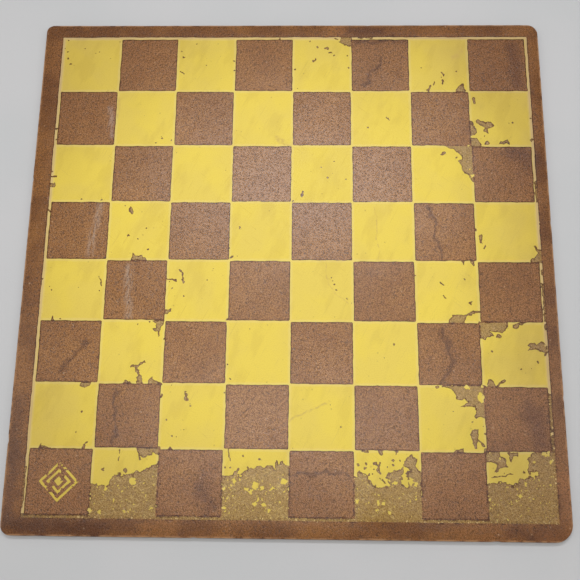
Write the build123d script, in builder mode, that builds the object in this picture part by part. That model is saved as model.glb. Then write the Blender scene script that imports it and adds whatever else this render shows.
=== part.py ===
from build123d import *
import os
from math import cos, radians, sin, sqrt

# A reversible hardboard game board. One face carries an eight by eight checkers field in
# yellow ink, the other a six-pointed star of marble pits for Chinese checkers.
# Millimetres. +Z points out of the checkers face, +X to its right, +Y to its far edge.
# The origin is the centre of the underside, which is the star face.

# ---- driving dimensions ----
BOARD = 381.0            # 15 in square
THICKNESS = 4.8          # 3/16 in hardboard
CORNER_R = 7.5           # rounded corners in plan
EDGE_EASE = 0.6          # sanded arris all round
INK = 0.1                # thickness given to each ink film

SQUARES = 8
SQUARE = 44.45           # 1 3/4 in
FIELD_X = 2.4            # the field is printed a little off the board's centre
FIELD_Y = 0.6
FIELD_LIP = 1.5          # yellow line outside the outer squares
WINDOW_INSET = 0.4       # ink runs this far into every unprinted square
WINDOW_R = 0.9           # soft corners of the unprinted squares

ORNAMENT = 27.0          # corner to corner, in the near left square
ORNAMENT_LINE = 1.6

MARBLE_R = 8.0           # 5/8 in marbles
PIT_R = 5.0              # rim of each spherical pit
ROW = 19.05              # 3/4 in between rows of pits
HALF_ROWS = 4            # rows from the star's centre to a side of its hexagon
STAR_LINE = 1.2          # printed line round each colour

BORDER_INSET = 8.0
BORDER_LINE = 2.0

# ---- worked out ----
PITCH = ROW * 2 / sqrt(3)
PIT_DEPTH = MARBLE_R - sqrt(MARBLE_R**2 - PIT_R**2)
HEXAGON_INRADIUS = (HALF_ROWS + 0.5) * ROW
POINT_INRADIUS = 1.5 * ROW
POINT_DISTANCE = HEXAGON_INRADIUS + POINT_INRADIUS
HALF_LINE = STAR_LINE / 2
FIELD = SQUARES * SQUARE


def square_centre(column, row):
    """Centre of a square, with columns counted from the left and rows from the far edge."""
    middle = (SQUARES - 1) / 2
    return FIELD_X + (column - middle) * SQUARE, FIELD_Y + (middle - row) * SQUARE


def pit_centres():
    """Every pit of the star: two triangles of pits laid over each other."""
    reach = 2 * HALF_ROWS
    centres = []
    for row in range(-reach, reach + 1):
        for step in range(-3 * reach, 3 * reach + 1):
            across = step / 2
            if (step - row) % 2:
                continue
            skew = (across - row / 2, -across - row / 2)
            rows = (row, skew[0], skew[1])
            if max(rows) <= HALF_ROWS or min(rows) >= -HALF_ROWS:
                centres.append((across * PITCH, row * ROW))
    return centres


unprinted = [
    square_centre(column, row)
    for column in range(SQUARES)
    for row in range(SQUARES)
    if (column + row) % 2
]
pits = pit_centres()

# The six star points, by the direction in which each one points.
star_points = {"red": 90, "yellow": 30, "green": -30, "black": -90, "blue": -150, "white": 150}

with BuildSketch() as hexagon_field:
    RegularPolygon(HEXAGON_INRADIUS - HALF_LINE, 6, major_radius=False)

with BuildSketch() as point_fields:
    for heading in star_points.values():
        with Locations(
            (POINT_DISTANCE * cos(radians(heading)), POINT_DISTANCE * sin(radians(heading)))
        ):
            RegularPolygon(POINT_INRADIUS - HALF_LINE, 3, major_radius=False, rotation=heading)

with BuildSketch() as star_lines:
    RegularPolygon(HEXAGON_INRADIUS, 6, major_radius=False)
    for heading in star_points.values():
        with Locations(
            (POINT_DISTANCE * cos(radians(heading)), POINT_DISTANCE * sin(radians(heading)))
        ):
            RegularPolygon(POINT_INRADIUS + HALF_LINE, 3, major_radius=False, rotation=heading)
    add(hexagon_field.sketch, mode=Mode.SUBTRACT)
    add(point_fields.sketch, mode=Mode.SUBTRACT)

with BuildSketch() as border_line:
    outer = BOARD - 2 * BORDER_INSET
    RectangleRounded(outer, outer, CORNER_R)
    RectangleRounded(
        outer - 2 * BORDER_LINE, outer - 2 * BORDER_LINE, CORNER_R - BORDER_LINE, mode=Mode.SUBTRACT
    )

# ---- the panel: one piece of hardboard, pits on the underside ----
with BuildPart() as hardboard_panel:
    with BuildSketch():
        RectangleRounded(BOARD, BOARD, CORNER_R)
    extrude(amount=THICKNESS)
    arrises = hardboard_panel.faces().filter_by(Axis.Z).edges()
    fillet(arrises, EDGE_EASE)
    # The star face's inks lie flush, so the board rests on bare hardboard and ink alike.
    with BuildSketch():
        add(hexagon_field.sketch)
        add(point_fields.sketch)
        add(star_lines.sketch)
        add(border_line.sketch)
    extrude(amount=INK, mode=Mode.SUBTRACT)
    with Locations(*[(x, y, PIT_DEPTH - MARBLE_R) for x, y in pits]):
        Sphere(MARBLE_R, mode=Mode.SUBTRACT)
hardboard_panel.part.label = "hardboard_panel"

# ---- checkers face ----
with BuildPart() as checker_field_print:
    with BuildSketch(Plane.XY.offset(THICKNESS)):
        with Locations((FIELD_X, FIELD_Y)):
            Rectangle(FIELD + 2 * FIELD_LIP, FIELD + 2 * FIELD_LIP)
        with Locations(*unprinted):
            window = SQUARE - 2 * WINDOW_INSET
            RectangleRounded(window, window, WINDOW_R, mode=Mode.SUBTRACT)
    extrude(amount=INK)
checker_field_print.part.label = "checker_field_print"

# A plain device of nested diamonds, printed on the bare near left square.
with BuildPart() as corner_ornament_print:
    with BuildSketch(Plane.XY.offset(THICKNESS)):
        with Locations(square_centre(0, SQUARES - 1)):
            for share in (1.0, 0.62):
                radius = ORNAMENT / 2 * share
                RegularPolygon(radius, 4)
                RegularPolygon(radius - ORNAMENT_LINE * sqrt(2), 4, mode=Mode.SUBTRACT)
            RegularPolygon(ORNAMENT / 2 * 0.24, 4)
    extrude(amount=INK)
corner_ornament_print.part.label = "corner_ornament_print"

# ---- star face: each colour is its own pass of ink, holed where the pits are cut ----
with BuildPart() as star_centre_print:
    with BuildSketch():
        add(hexagon_field.sketch)
        with Locations(*pits):
            Circle(PIT_R, mode=Mode.SUBTRACT)
    extrude(amount=INK)
star_centre_print.part.label = "star_centre_print"

with BuildPart() as star_outline_print:
    with BuildSketch():
        add(star_lines.sketch)
        with Locations(*pits):
            Circle(PIT_R, mode=Mode.SUBTRACT)
    extrude(amount=INK)
star_outline_print.part.label = "star_outline_print"

with BuildPart() as reverse_border_print:
    with BuildSketch():
        add(border_line.sketch)
    extrude(amount=INK)
reverse_border_print.part.label = "reverse_border_print"

pieces = [
    hardboard_panel.part,
    checker_field_print.part,
    corner_ornament_print.part,
    star_centre_print.part,
    star_outline_print.part,
    reverse_border_print.part,
]

for colour, heading in star_points.items():
    with BuildPart() as star_point:
        with BuildSketch():
            with Locations(
                (POINT_DISTANCE * cos(radians(heading)), POINT_DISTANCE * sin(radians(heading)))
            ):
                RegularPolygon(POINT_INRADIUS - HALF_LINE, 3, major_radius=False, rotation=heading)
            with Locations(*pits):
                Circle(PIT_R, mode=Mode.SUBTRACT)
        extrude(amount=INK)
    star_point.part.label = f"star_point_{colour}_print"
    pieces.append(star_point.part)

os.makedirs("parts", exist_ok=True)
for piece in pieces:
    export_step(piece, f"parts/{piece.label}.step")
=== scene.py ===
from math import cos, hypot, pi, radians, sin, sqrt

import bpy
import numpy as np
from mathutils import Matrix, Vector
from mathutils.geometry import delaunay_2d_cdt


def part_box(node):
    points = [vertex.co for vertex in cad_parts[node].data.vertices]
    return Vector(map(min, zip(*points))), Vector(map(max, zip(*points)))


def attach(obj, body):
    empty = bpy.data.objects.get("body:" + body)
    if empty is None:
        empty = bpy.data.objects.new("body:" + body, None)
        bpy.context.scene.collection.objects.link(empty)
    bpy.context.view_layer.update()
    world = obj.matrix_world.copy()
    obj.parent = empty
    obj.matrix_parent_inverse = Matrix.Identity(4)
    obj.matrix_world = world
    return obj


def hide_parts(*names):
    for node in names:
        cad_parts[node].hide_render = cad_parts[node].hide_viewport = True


# A well-used hardboard game board, lying with its checkers face up on a pale table.
# Shapes are worked out in millimetres in the frame of the CAD model and built in metres.
# The film of yellow ink is a real layer, with every chip and worn patch cut out of it.

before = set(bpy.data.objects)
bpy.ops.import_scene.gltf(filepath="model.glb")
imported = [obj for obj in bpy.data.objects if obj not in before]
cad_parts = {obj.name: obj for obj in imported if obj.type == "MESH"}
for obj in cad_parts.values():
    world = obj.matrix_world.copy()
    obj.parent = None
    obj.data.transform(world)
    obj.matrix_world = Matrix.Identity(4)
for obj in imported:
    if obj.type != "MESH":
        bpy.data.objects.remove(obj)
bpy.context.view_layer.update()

MM = 0.001


def box_mm(node):
    """Lowest and highest corner of a CAD node, in mm."""
    low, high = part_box(node)
    return low / MM, high / MM


panel_low, panel_high = box_mm("hardboard_panel")
field_low, field_high = box_mm("checker_field_print")
ornament_low, ornament_high = box_mm("corner_ornament_print")
star_low, star_high = box_mm("star_centre_print")
CORNER_SIDES = [(-1, -1), (1, -1), (1, 1), (-1, 1)]

# ---- the printed field ----
SQUARES = 8
LIP = 1.5                # ink outside the outer squares
WINDOW_INSET = 0.4       # ink runs this far into every bare square
WINDOW_R = 0.9           # corner radius of a bare square
SQUARE = (field_high.x - field_low.x - 2 * LIP) / SQUARES
LEFT = field_low.x + LIP
FAR = field_high.y - LIP
FIELD_X = (field_low.x + field_high.x) / 2
FIELD_Y = (field_low.y + field_high.y) / 2
INK_TOP = field_high.z
INK_SINK = 0.05          # the film's underside lies this far into the board

# ---- the star face ----
STAR_LINE = 1.2          # width of the line round the star
PIT_R = 5.0              # of a pit's rim
MARBLE_R = 8.0           # of a pit's hollow
PIT_RIM = PIT_R + 0.35   # where the rounding of a pit's rim begins
PIT_SEGMENTS = 28
HALF_ROWS = 4
ROW = ((star_high.y - star_low.y) / 2 + STAR_LINE / 2) / (HALF_ROWS + 0.5)
REVERSE_Z = 0.05         # bare board on the star face, just inside the inks

# ---- wear, in mm on the board, x to the right and y to the far edge ----
# Round chips: x, y, radius.
CHIPS = [
    # far row of squares
    (-172.5, 177.5, 0.8), (-175, 170.5, 0.5), (-172.5, 167.5, 0.7), (-172, 161.5, 0.9),
    (-169.5, 157, 0.7), (-159, 170, 0.5), (-151, 166.5, 0.5), (-132, 176.5, 0.4),
    (-72, 174.5, 0.4), (-84, 167.5, 0.5), (-82, 163, 0.8), (-54, 164, 0.6), (-64.5, 156, 0.5),
    (-43, 159.5, 0.6), (-42.5, 151.5, 0.6), (-8, 178.5, 0.8), (-3, 180.5, 0.9),
    (15, 176.5, 0.6), (38, 176, 0.5), (21, 171.5, 0.7), (34, 164.5, 0.6), (44, 164, 0.7),
    (45, 154, 1.0), (3.5, 152.5, 0.8), (17.5, 160, 0.4), (123, 171, 0.6), (115.5, 146, 0.5),
    (117.5, 142.5, 0.4), (127, 151, 0.6), (100, 153.5, 0.4),
    # second row
    (-95.5, 95, 0.7), (-100, 91.5, 0.5), (-89, 93.5, 0.6), (58.5, 114.5, 0.35), (59, 104.5, 0.5),
    (180.5, 112.5, 0.7), (164.5, 108, 0.6), (167, 108.5, 0.6), (145.5, 97, 0.7), (180.5, 95, 1.2),
    (-176, 103, 0.6), (-175.5, 94, 0.6),
    # third row
    (-176.5, 69, 0.6), (-175, 58, 1.7), (-152.5, 47, 0.8), (-138, 46.5, 1.1), (-84, 84, 0.4),
    (33.5, 77.5, 0.4), (24.5, 72.5, 0.6), (29, 64, 0.9), (42.5, 63, 0.6), (15, 62.5, 0.4),
    (3.5, 46, 0.7), (3, 48.5, 0.4), (124, 80.5, 0.9),
    # fourth row
    (-120.5, 41.5, 0.4), (-103.5, 24.5, 0.6), (-116.5, 19, 0.7), (-109.5, 17, 0.9),
    (-101, 9, 0.8), (-128, 6, 0.35), (136, 24.5, 0.8), (-42, 9, 0.6), (-42, 17.5, 0.5),
    # fifth row
    (-176, -13.5, 0.8), (-169, -22, 0.6), (-170.5, -19.5, 0.4), (-150, -20.5, 0.35),
    (-135, -22.5, 0.5), (-139.5, -27, 0.4), (-135.5, -12, 0.4), (-161, -43, 0.7),
    (-84.5, -15, 0.5), (-82, -20.5, 0.6), (-73.5, -26, 0.5), (-57.5, -14, 0.4), (-42.5, -42.5, 0.7),
    (31.5, -12, 0.6), (32.5, -14.5, 0.4), (33.5, -17, 0.7), (35, -21, 0.6), (42.5, -27.5, 0.5),
    (45.5, -30.5, 0.4), (33.5, -40.5, 0.4), (126, -12.5, 0.7), (91, -10, 0.6),
    # sixth row
    (-97.5, -44.5, 0.7), (-105, -46.5, 0.5), (-86.5, -57, 0.6), (-38.5, -84.5, 0.5),
    (75, -60, 0.6), (143, -64.5, 0.6), (141, -65.5, 0.5), (174.5, -71.5, 1.0),
    (162.5, -76.5, 0.6), (169.5, -76, 0.4), (-41.5, -74.5, 0.5),
    # seventh row
    (-141, -108.5, 0.6), (-144, -122.5, 0.5), (-136, -129, 0.7), (-79.5, -89.5, 0.5),
    (-53.5, -89, 0.4), (-86, -97, 1.1), (-66.5, -102, 0.4), (-65.5, -103.5, 0.6), (-43, -94, 0.7),
    (-82, -113.5, 0.7), (-78, -124.5, 0.8), (-75, -125, 0.5), (-69.5, -120, 0.35),
    (37.5, -117, 0.5), (114.5, -106, 0.7), (127.5, -112.5, 0.6), (134.5, -115.5, 0.4),
    (136, -121, 0.7), (135, -131.5, 1.3), (-86.8, -132.9, 1.6),
    # near row
    (-124, -147, 1.0), (-108, -147.5, 1.3), (-28.5, -137, 0.7), (-17.5, -139, 0.8),
    (-41, -144.5, 0.7), (-37, -144.5, 0.6), (-25.5, -144.5, 0.8), (-31.5, -146, 1.0),
    (49.5, -142, 0.9), (55, -141.5, 0.8), (54, -144.5, 0.9), (60, -144.5, 0.5), (59, -148, 0.7),
    (69, -143, 0.6), (73, -139, 0.8), (73, -142, 0.7), (77.5, -139, 0.5), (82, -147, 0.5),
    (160, -145.5, 0.8), (147, -146.5, 0.5),
]

# Scratches and torn strokes: half width, then the points along the stroke.
SCRATCHES = [
    (0.5, (-84, 150.5), (-81.5, 149)),
    (0.5, (34.5, 179.5), (36.5, 178)),
    (0.6, (27, 170), (28.5, 171), (29.5, 170)),
    (0.7, (30.5, 167.5), (32.5, 166.5)),
    (0.6, (19.5, 161), (18.5, 159.5)),
    (0.6, (115.5, 150), (117, 147.5)),
    (0.5, (116, 144), (116.5, 140.5)),
    (0.5, (110, 141.5), (109, 140)),
    (0.8, (106.5, 138.5), (105, 135), (106, 133.5)),
    (0.5, (73, 112.5), (75, 110.5)),
    (0.5, (-177, 64.5), (-172.5, 64.5)),
    (0.5, (-176, 38.5), (-174.5, 36.5)),
    (0.9, (10.5, 52.5), (10.5, 49.5)),
    (0.4, (-35, 26), (-35.5, 24.5)),
    (0.4, (142.5, 13), (141, 10.5)),
    (0.5, (-135, -13.5), (-133, -18.5)),
    (0.6, (-77.5, -6.5), (-75.5, -8), (-75, -13.5), (-76, -14.5), (-74.5, -16)),
    (0.6, (-86, -13.5), (-82.5, -13.5), (-79.5, -14.5)),
    (0.4, (109, -15), (111, -17)),
    (0.4, (111, -24.5), (113, -26)),
    (0.9, (-108.5, -76.5), (-104.5, -77), (-99.5, -73.5), (-99, -73)),
    (1.1, (-104.5, -77), (-103.5, -80.5), (-102.5, -83.5)),
    (1.9, (-102.5, -84.5), (-102, -88)),
    (0.9, (-69.5, -95), (-69, -99.5)),
    (0.4, (-113, -133.5), (-113, -140.5)),
    (0.35, (-39, -132.5), (-37, -140)),
    (0.7, (60, -140.5), (62.5, -142.5), (63.5, -140.5)),
    (0.7, (62.5, -142.5), (62.5, -145), (64, -147.5)),
    (0.7, (64.5, -150.5), (67.5, -153.5)),
    (0.4, (138.5, -149.5), (143.5, -148.5), (148, -148), (149, -147), (153, -147)),
]

# Patches of lost ink, as the corners of their outlines.
LOST_PATCHES = [
    # far right, along the eighth column
    [(126, 135), (127.5, 138), (130, 139.5), (131, 141), (132.5, 140), (132, 138), (133.5, 135), (133.5, 133),
     (126, 133)],
    [(38.5, 180.5), (39, 175), (42, 173), (47.5, 171.5), (47.5, 180.5)],
    [(137.5, 128), (139, 129.5), (141, 128), (140, 124), (139, 123.5), (138, 126)],
    [(139, 110), (141.5, 111.5), (146.5, 108.5), (150.5, 109.5), (153.5, 105.5), (148.5, 103.5),
     (148.5, 99.5),
     (145.5, 102), (146, 105), (140.5, 108)],
    [(135, 110), (137.5, 109.5), (137.5, 106.5), (140, 103), (140, 100), (138.5, 98.5), (135, 98)],
    [(135, 96), (140, 96), (143, 90), (143, 88.5), (135, 88.5)],
    [(145.5, 90.5), (146, 93.5), (148, 93.5), (149, 91)],
    [(156, 91), (157.5, 94), (159.5, 93.5), (162.5, 95), (164.5, 93), (164, 90.5), (161.5, 92),
     (159.5, 91.5)],
    [(112.5, 83), (113.5, 84.5), (115.5, 85.5), (117, 84), (113.5, 82)],
    [(114.5, 91), (116.5, 89), (120.5, 87.5), (125, 84.5), (128, 81.5), (128.5, 79.5), (125.5, 78),
     (127.5, 74), (127.5, 71.5), (129.5, 68.5), (132.5, 66.5), (133.5, 63.5), (135.5, 60.5), (137, 61),
     (137, 91)],
    # left of the fourth row
    [(-117, 39), (-116, 41), (-114.5, 40), (-113.5, 36), (-114.5, 35), (-116.5, 37)],
    [(-113, 0), (-112.5, 6), (-110, 3.5), (-105.5, 4), (-105, 2), (-102.5, 2.5), (-102, 0)],
    [(-42.5, 1.5), (-41.5, 3.5), (-38.5, 4.5), (-39, 3)],
    [(137, 19), (138, 20.5), (140, 20.5), (140.5, 19), (140, 13.5), (138.5, 15.5)],
    [(177, 13), (178.5, 13), (180, 10), (182.5, 9.5), (182.5, -0.5), (174, -0.5), (174, 2.5), (177, 4),
     (179, 7), (178, 11)],
    # fifth row
    [(-168, -44.5), (-167, -41), (-165, -44.5)],
    [(-87, -35.5), (-85, -35.5), (-82, -35), (-82.5, -37.5), (-84, -38), (-85, -39.5), (-87, -39.5)],
    [(124.5, 1.5), (127.5, 1.5), (126.5, -2), (125.5, -1.5)],
    [(131, 1.5), (134, 1.5), (133.5, -2), (132.5, -2.5)],
    [(128.5, -30), (130.5, -28), (130.5, -31.5)],
    [(112.5, -44.5), (114.5, -41.5), (117, -39.5), (117, -38), (121, -38.5), (127, -38), (131, -35.5),
     (136.5, -35.5), (136.5, -37), (133.5, -37), (131, -38), (127.5, -39.5), (126, -41.5), (125, -45)],
    # sixth row
    [(-95, -44), (-86, -43.5), (-88.5, -47.5), (-90.5, -56.5), (-91, -52), (-93, -52), (-95, -49.5),
     (-93, -49.5), (-92.5, -46.5)],
    [(-113.5, -89), (-112.5, -86), (-111, -86), (-109.5, -87.5), (-107, -88), (-107, -89)],
    [(-96.5, -89), (-96, -85.5), (-93, -83.5), (-92.5, -85.5), (-86.5, -88), (-86, -89.5)],
    [(135, -43), (155, -43), (155, -46.5), (153, -49.5), (150.5, -51), (142.5, -50.5), (145, -53),
     (141, -54), (138.5, -56), (135, -54.5)],
    [(146.5, -54), (147, -52.5), (148.5, -52), (150.5, -53), (150, -54), (148, -54.5)],
    [(158.5, -46.5), (159, -45.5), (162, -44), (168, -43.5), (166, -45.5), (163, -45.5), (163, -47.5),
     (161, -48.5), (159, -48)],
    [(180, -44.5), (183, -44.5), (183, -49), (180.5, -49)],
    [(167.5, -60), (170, -58), (173, -58), (174, -59.5), (176.5, -57.5), (178, -56.5), (181, -59),
     (182, -62.5), (181.5, -65), (180.5, -66.5), (179, -67), (179, -64.5), (173, -63), (168, -63.5),
     (170, -61.5)],
    [(138, -89.5), (139.5, -84), (141, -83.5), (143.5, -85.5), (144.5, -88), (149.5, -84), (151.5, -84),
     (149.5, -86), (145, -89.5)],
    # seventh row
    [(-143.5, -88), (-143.5, -90.5), (-141.5, -91.5), (-138.5, -91.5), (-135.5, -89), (-136.5, -87.5)],
    [(-169, -133.5), (-168, -130), (-166.5, -131.5), (-161, -132.5), (-161, -133.5)],
    [(-139.5, -133.5), (-138.5, -130), (-137, -129.5), (-136.5, -131), (-137, -133.5)],
    [(-80, -133.5), (-78.5, -131), (-77.5, -131.5), (-76.5, -133.5)],
    [(102.5, -88.5), (103, -88), (105.5, -88), (105, -90), (103.5, -90.5)],
    [(107.5, -87.5), (107.5, -89), (112.5, -90), (114.5, -91), (117, -94), (117, -97.5), (120.5, -98.5),
     (122.5, -97), (125.5, -99), (119.5, -102.5), (129.5, -103), (130.5, -105), (128.5, -109),
     (129.5, -110.5), (133.5, -109.5), (137, -110.5), (137, -87.5)],
    [(125.5, -121), (127, -118), (128.5, -117.5), (131, -117.5), (131, -122), (130.5, -124.5),
     (132.5, -125.5), (135, -127.5), (135, -130), (133.5, -129), (131, -126), (130, -127.5), (130, -130),
     (128, -130.5), (127.5, -128.5), (127, -124.5)],
    [(113, -133.5), (115.5, -131.5), (120.5, -130), (121, -133.5)],
    # near row
    [(-101.5, -132), (-100, -136.5), (-99.5, -140), (-98, -140.5), (-98.5, -138.5), (-95, -138.5),
     (-93.5, -137), (-91, -137.5), (-90.5, -134.5), (-86.5, -137), (-85.5, -137), (-85.5, -132)],
    [(52, -132), (52.5, -134), (56, -134), (56.5, -132)],
    [(62, -132), (63.5, -134.5), (64.5, -135.5), (66, -134.5), (66.5, -132)],
    [(73.5, -132), (75, -135), (76.5, -132)],
    [(81.5, -137.5), (84.5, -135.5), (86, -134), (87, -136.5), (89, -138.5), (88, -142), (91.5, -146.5),
     (92, -154), (88, -154), (86, -150.5), (82.5, -149), (84.5, -145), (79.5, -142), (80, -140.5)],
    [(135, -132), (144.5, -132), (145, -135), (148.5, -136.5), (148.5, -140), (150, -142.5), (144.5, -143.5),
     (141, -146.5), (142.5, -140.5), (135, -139)],
    [(150, -132), (152, -133.5), (157, -132.5), (157, -135.5), (154, -135.5), (152, -139.5), (151, -136.5),
     (150, -134.5)],
]

# In the near row the ink is worn away below these lines, from left to right.
WORN_BELOW = [
    [(-131.8, -156.5), (-118.5, -156.5), (-117.5, -152.5), (-116, -150.5), (-112.5, -150), (-108, -151),
     (-104.5, -149.5), (-99.5, -147.5), (-93, -145.5), (-86.5, -142), (-85.6, -139.5)],
    [(-42.9, -149.5), (-35.5, -150), (-35, -148), (-31.5, -145.5), (-31, -149), (-30.5, -150),
     (-28.5, -147.5),
     (-25, -146), (-17.5, -143.5), (-14.5, -146), (-12.5, -144.5), (-9, -143), (-6.5, -145), (-8, -140.5),
     (-6, -139.5), (-4.5, -142), (-2, -140), (1, -142.5), (3.3, -142.5)],
    [(46, -150), (48.5, -150), (49.5, -145.5), (51.5, -147.5), (54, -149), (56.5, -148), (56, -151),
     (58, -154), (61.5, -155), (64, -157.5), (66, -157), (70, -155), (69.5, -152.5), (67, -150),
     (71.5, -145.5), (77.5, -145.5), (79.5, -143.5), (78, -153), (81.5, -155), (83, -145), (92.2, -146)],
    [(134.8, -153), (138.5, -152), (144.5, -152.5), (150, -153), (152.5, -155), (157, -150.5),
     (162, -149), (169, -147.5), (169, -145.5), (164, -146), (163, -144.5), (163.5, -137.5), (166, -132),
     (183, -132)],
]

# Worn stretches of the narrow outer lip, again as patches.
WORN_LIP = [
    [(52, 180.5), (52, 178.8), (64, 178.8), (64, 180.5)],
    [(-178, -145), (-175.8, -145), (-175.8, -172), (-178, -172)],
    [(180.5, 62), (182.5, 62), (182.5, 45), (180.5, 45)],
    [(180.5, -5), (182.5, -5), (182.5, -9), (180.5, -9)],
    [(180.5, -15), (182.5, -15), (182.5, -43), (180.5, -43)],
    [(179.6, -93), (182.5, -93), (182.5, -119), (179.6, -119)],
    [(179.6, -121), (182.5, -121), (182.5, -132), (179.6, -132)],
    [(-178, -176.4), (184, -176.4), (184, -180), (-178, -180)],
]

# Ink left standing within the patches: x, y, radius.
ISLANDS = [
    (133.5, 90, 0.9), (133.5, 71, 0.7), (135.5, 66, 1.3), (124.8, -89.2, 1.6), (134.5, -88.5, 0.8),
    (133.5, -93, 0.8), (133.5, -96.5, 2.7), (-121, -159.5, 1.2), (-102.8, -154.2, 2.3), (-114.5, -167, 0.7),
    (-124, -174.5, 1.2), (-131, -173.5, 1.1), (-107, -174, 0.8), (-104.5, -174, 0.6), (-89, -171.5, 1.2),
    (-34, -153, 1.1), (-30.5, -152.5, 0.8), (-35.5, -156, 0.7), (-20, -156.5, 2.3), (-25.5, -159, 1.2),
    (-23, -160.5, 1.3), (-15.5, -157.5, 1.2), (-40.5, -158.5, 1.0), (-9, -158.5, 1.0), (-0.5, -153.5, 2.1),
    (-0.5, -160, 0.7), (-41.5, -164.5, 0.8), (-20, -168, 1.5), (-14, -169, 1.2), (-17.5, -165, 0.6),
    (-10.5, -172.5, 0.9), (-40.5, -171, 1.0), (-3.5, -166.5, 0.6), (84.5, -153, 1.9), (88, -154.5, 1.2),
    (73.5, -153.5, 1.5), (48.5, -165.5, 1.4), (62.5, -166.5, 1.3), (66, -166.5, 1.0), (70, -173.5, 1.0),
    (87.5, -164, 0.7), (174.5, -133.8, 1.4), (177.5, -133.4, 1.2), (138, -133, 0.8), (144.5, -136.5, 0.6),
    (141.5, -142, 1.0), (167.5, -139.5, 0.9), (179, -138.5, 1.2), (157, -161, 1.0), (154, -164.5, 0.6),
    (177.5, -154, 0.7), (161, -152.5, 0.9), (136.5, -164, 0.7), (180, -145.5, 0.5),
]

# ---- shapes drawn on a grid, then traced ----


def wander(x, y, wavelength, seed):
    """Smooth random values from -1 to 1 that change over about a wavelength."""
    size = 256
    lattice = np.random.default_rng(seed).uniform(-1, 1, (size, size))
    u = x / wavelength + size
    v = y / wavelength + size
    column = np.floor(u).astype(int)
    row = np.floor(v).astype(int)
    u = u - column
    v = v - row
    u = u * u * (3 - 2 * u)
    v = v * v * (3 - 2 * v)
    here = lattice[row % size, column % size] * (1 - u) + lattice[row % size, (column + 1) % size] * u
    row = row + 1
    beyond = lattice[row % size, column % size] * (1 - u) + lattice[row % size, (column + 1) % size] * u
    return here * (1 - v) + beyond * v


def from_line(x, y, points):
    """Distance of each x, y from the line through the points."""
    nearest = np.hypot(x - points[0][0], y - points[0][1])
    for (ax, ay), (bx, by) in zip(points, points[1:]):
        run_x = bx - ax
        run_y = by - ay
        along = ((x - ax) * run_x + (y - ay) * run_y) / (run_x**2 + run_y**2)
        along = np.clip(along, 0, 1)
        nearest = np.minimum(nearest, np.hypot(x - ax - along * run_x, y - ay - along * run_y))
    return nearest


def from_patch(x, y, corners):
    """Distance of each x, y from a patch, below zero inside it."""
    closed = corners + corners[:1]
    inside = np.zeros(x.shape, bool)
    for (ax, ay), (bx, by) in zip(closed, closed[1:]):
        if ay != by:
            inside ^= ((ay > y) != (by > y)) & (x < ax + (y - ay) * (bx - ax) / (by - ay))
    distance = from_line(x, y, closed)
    return np.where(inside, -distance, distance)


def from_block(x, y, centre_x, centre_y, half, radius):
    """Distance of each x, y from a square with rounded corners, below zero inside it."""
    over_x = np.abs(x - centre_x) - half + radius
    over_y = np.abs(y - centre_y) - half + radius
    outside = np.hypot(np.maximum(over_x, 0), np.maximum(over_y, 0))
    return outside + np.minimum(np.maximum(over_x, over_y), 0) - radius


class Ink:
    """A film of ink on a grid: each value is about the distance to the film's edge, above zero in the ink."""

    margin = 2.0

    def __init__(self, low, high, step, seed):
        self.step = step
        self.across = np.arange(low.x - self.margin, high.x + self.margin, step)
        self.along = np.arange(low.y - self.margin, high.y + self.margin, step)
        x, y = np.meshgrid(self.across, self.along)
        self.values = np.full(x.shape, -self.margin)
        # A printed edge wavers gently, and a chipped one is ragged.
        self.printed = [
            x + 0.22 * wander(x, y, 4.5, seed) + 0.12 * wander(x, y, 1.5, seed + 1),
            y + 0.22 * wander(x, y, 4.5, seed + 2) + 0.12 * wander(x, y, 1.5, seed + 3),
        ]
        self.broken = [
            x + 0.5 * wander(x, y, 2.6, seed + 4) + 0.3 * wander(x, y, 1.1, seed + 5),
            y + 0.5 * wander(x, y, 2.6, seed + 6) + 0.3 * wander(x, y, 1.1, seed + 7),
        ]
        self.crumbs = wander(x, y, 0.9, seed + 8)

    def around(self, points, reach):
        """The part of the grid within reach of the points."""
        xs = [p[0] for p in points]
        ys = [p[1] for p in points]
        columns = np.searchsorted(self.across, (min(xs) - reach, max(xs) + reach))
        rows = np.searchsorted(self.along, (min(ys) - reach, max(ys) + reach))
        return slice(*rows), slice(*columns)

    def add(self, part, distance):
        """Lays ink on a part of the grid wherever the distance is below zero."""
        self.values[part] = np.maximum(self.values[part], -distance)

    def cut(self, part, distance):
        """Takes ink off a part of the grid wherever the distance is below zero."""
        self.values[part] = np.minimum(self.values[part], distance)

    def near_line(self, points, radius):
        """A part of the grid and its ragged distance from a thick line."""
        part = self.around(points, radius + self.margin)
        distance = from_line(self.broken[0][part], self.broken[1][part], points) - radius
        return part, distance + 0.7 * min(radius, 1.1) * self.crumbs[part]

    def near_patch(self, corners):
        """A part of the grid and its ragged distance from a patch, with crumbs along its edge."""
        part = self.around(corners, self.margin)
        distance = from_patch(self.broken[0][part], self.broken[1][part], corners)
        return part, distance + 0.3 * self.crumbs[part]


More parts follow.
